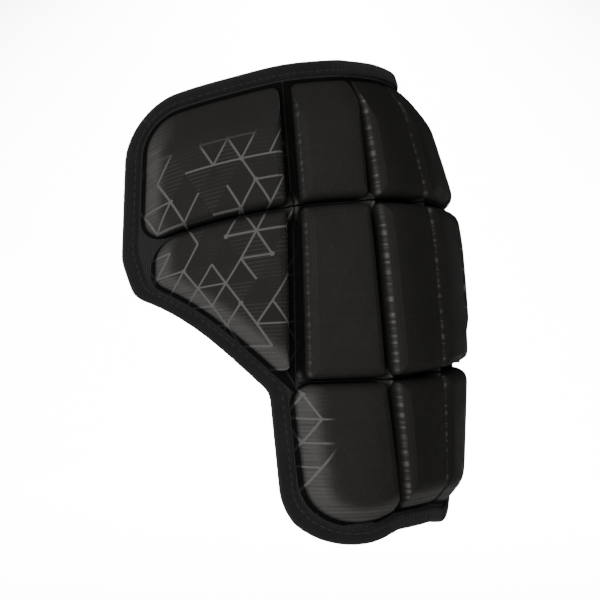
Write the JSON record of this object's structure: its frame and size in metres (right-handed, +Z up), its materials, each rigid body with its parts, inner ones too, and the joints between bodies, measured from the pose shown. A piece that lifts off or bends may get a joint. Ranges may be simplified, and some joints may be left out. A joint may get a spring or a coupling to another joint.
{
  "type": "hip pad",
  "caption": "Curved hip pad of padded compression shorts: foam blocks in rows under a stretch skin, on a thin panel with a bound edge.",
  "frame": {"origin": "on the skin side of the panel, behind the middle of the middle row's middle block", "axes": "+X out of the wearer's left hip, -Y the way the wearer faces, +Z up"},
  "size_m": [0.0956, 0.1801, 0.1756],
  "materials": {
    "block_cloth": "charcoal stretch knit with a tone-on-tone line print",
    "panel_cloth": "black stretch knit",
    "tape_cloth": "black folded tape, sewn"
  },
  "bodies": {
    "root": {"carrier_panel": "panel_cloth", "edge_tape": "tape_cloth", "lower_fore_block": "block_cloth", "lower_mid_block": "block_cloth", "lower_aft_block": "block_cloth", "middle_front_block": "block_cloth", "middle_fore_block": "block_cloth", "middle_mid_block": "block_cloth", "middle_aft_block": "block_cloth", "middle_rear_block": "block_cloth", "upper_front_block": "block_cloth", "upper_fore_block": "block_cloth", "upper_mid_block": "block_cloth", "upper_aft_block": "block_cloth", "upper_rear_block": "block_cloth"}
  },
  "joints": []
}
